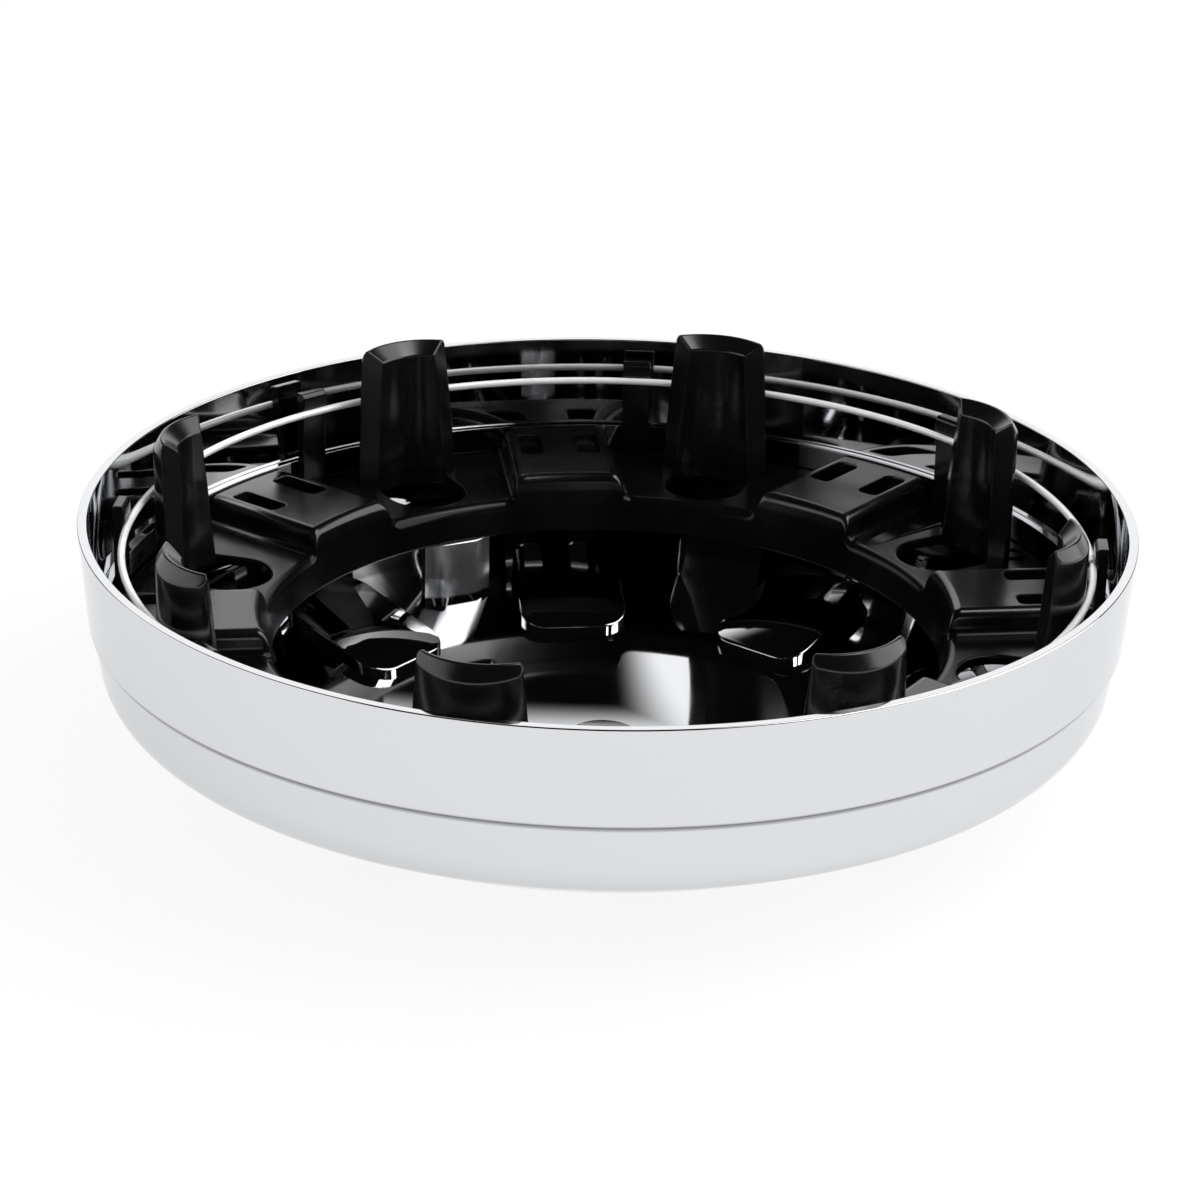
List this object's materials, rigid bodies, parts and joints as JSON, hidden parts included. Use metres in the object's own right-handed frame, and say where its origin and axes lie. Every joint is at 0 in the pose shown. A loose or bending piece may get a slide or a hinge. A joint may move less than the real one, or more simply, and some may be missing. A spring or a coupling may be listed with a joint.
{
  "type": "wheel centre cap",
  "caption": "Round push-on wheel centre cap: chromed bowl-shaped shell holding a black retainer ring whose posts grip the lug nuts, with a wire ring round the posts.",
  "frame": {"origin": "on the wheel's axis, in the plane of the face that the cap lies on", "axes": "+Z along the wheel's axis from the face towards the open back, +X towards one post"},
  "size_m": [0.239, 0.239, 0.0677],
  "materials": {
    "chrome_shell": "mirror chrome plating on plastic",
    "black_plastic": "satin black moulded plastic",
    "spring_steel": "bright drawn wire"
  },
  "bodies": {
    "root": {"cap_shell": "chrome_shell", "lug_retainer": "black_plastic", "grip_ring": "spring_steel"}
  },
  "joints": []
}
